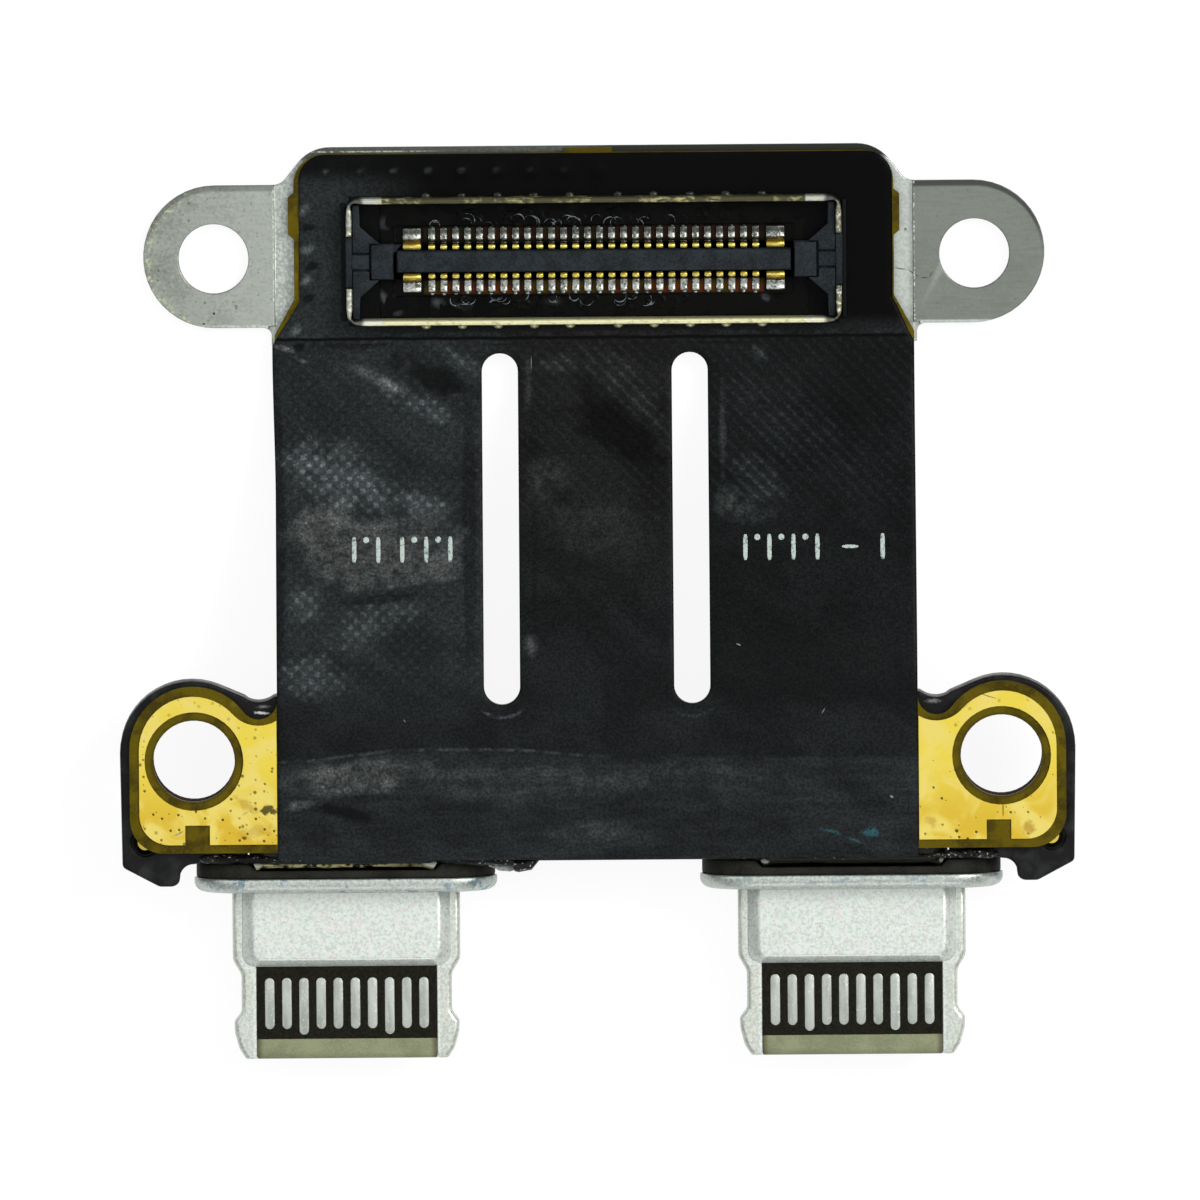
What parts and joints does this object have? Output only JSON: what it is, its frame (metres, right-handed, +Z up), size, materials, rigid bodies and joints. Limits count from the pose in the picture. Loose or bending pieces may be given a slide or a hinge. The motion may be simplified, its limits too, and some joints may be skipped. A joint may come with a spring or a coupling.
{
  "type": "dual charging port flex module with board connector",
  "caption": "Flexible circuit joining a pair of side-by-side tongue-type charging ports on a black carrier to a shielded board connector on a steel mounting bracket.",
  "frame": {"origin": "middle of the part's footprint, on the surface it rests on", "axes": "+X to the right across the two ports, +Y from the ports to the board connector, +Z up, out of the connector's open side"},
  "size_m": [0.0278, 0.0266, 0.0034],
  "materials": {
    "polyimide": "smooth satin olive polyimide",
    "cover_film": "black cover film with a fine embossed cross hatch",
    "gold_pad": "gold plating with small dark pits and brown stains",
    "bracket_steel": "dull stainless steel, faintly brushed",
    "carrier_black": "satin black coating",
    "housing_black": "fine grained black moulding",
    "shield_metal": "pale plated metal",
    "board_contact": "gold tips and tinned solder tails",
    "port_metal": "grainy satin nickel",
    "gasket_rubber": "matte black rubber",
    "nose_plastic": "beige grey moulding",
    "tongue_black": "matte black moulding",
    "tongue_contact": "satin nickel"
  },
  "bodies": {
    "root": {"flex_core": "polyimide", "flex_top_film": "cover_film", "flex_bottom_film": "cover_film", "left_lug_pad": "gold_pad", "right_lug_pad": "gold_pad", "upper_bracket": "bracket_steel", "carrier_frame": "carrier_black", "left_ground_stud": "gold_pad", "right_ground_stud": "gold_pad", "board_connector_housing": "housing_black", "board_connector_shield": "shield_metal", "board_connector_upper_contacts": "board_contact", "board_connector_lower_contacts": "board_contact", "board_connector_power_contacts": "board_contact", "left_port_shell": "port_metal", "left_port_flange": "port_metal", "left_port_gasket": "gasket_rubber", "left_port_ground_frame": "port_metal", "left_port_nose": "nose_plastic", "left_port_upper_insulator": "tongue_black", "left_port_lower_insulator": "tongue_black", "left_port_upper_contacts": "tongue_contact", "left_port_lower_contacts": "tongue_contact", "left_port_upper_ground_plate": "port_metal", "left_port_lower_ground_plate": "port_metal", "right_port_shell": "port_metal", "right_port_flange": "port_metal", "right_port_gasket": "gasket_rubber", "right_port_ground_frame": "port_metal", "right_port_nose": "nose_plastic", "right_port_upper_insulator": "tongue_black", "right_port_lower_insulator": "tongue_black", "right_port_upper_contacts": "tongue_contact", "right_port_lower_contacts": "tongue_contact", "right_port_upper_ground_plate": "port_metal", "right_port_lower_ground_plate": "port_metal"}
  },
  "joints": []
}
